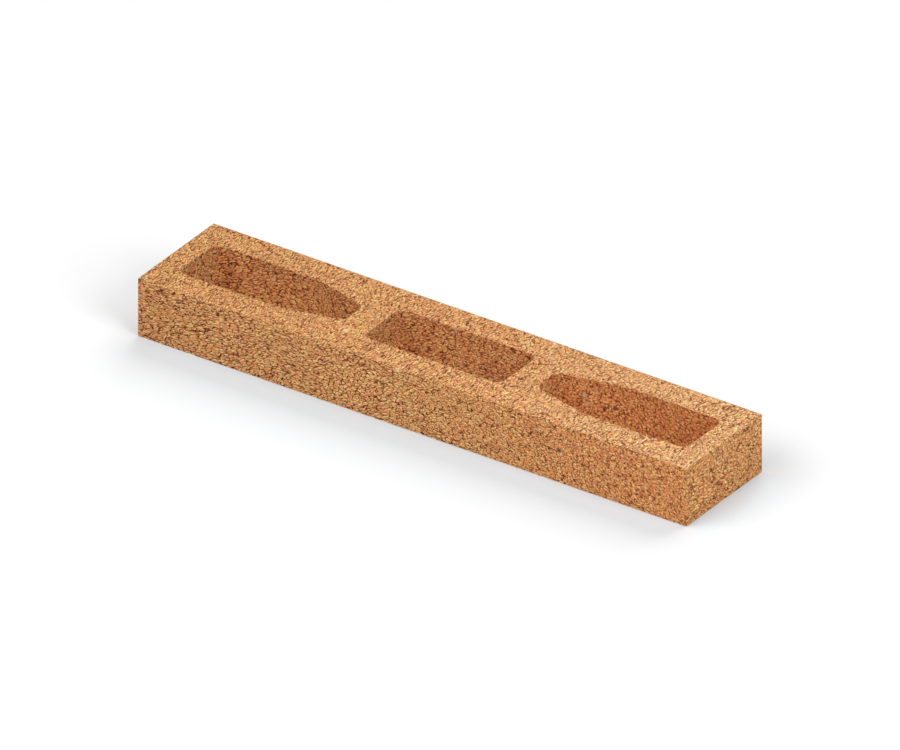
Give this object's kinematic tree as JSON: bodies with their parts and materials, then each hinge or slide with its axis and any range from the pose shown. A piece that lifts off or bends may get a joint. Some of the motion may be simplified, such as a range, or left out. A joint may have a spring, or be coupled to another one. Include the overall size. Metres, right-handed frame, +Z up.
{
  "type": "clay brick",
  "caption": "Long, low cored clay brick with a rounded rectangular core in the middle and a core at each end that narrows to a blunt nose towards it.",
  "frame": {"origin": "middle of the lower bed face, the flat face that the brick lies on", "axes": "+X along the brick's length, +Y across its width, +Z up, along the cores, from the lower bed face to the upper one"},
  "size_m": [0.5, 0.1, 0.05],
  "materials": {
    "fired_clay": "matte"
  },
  "bodies": {
    "root": {"brick": "fired_clay"}
  },
  "joints": []
}
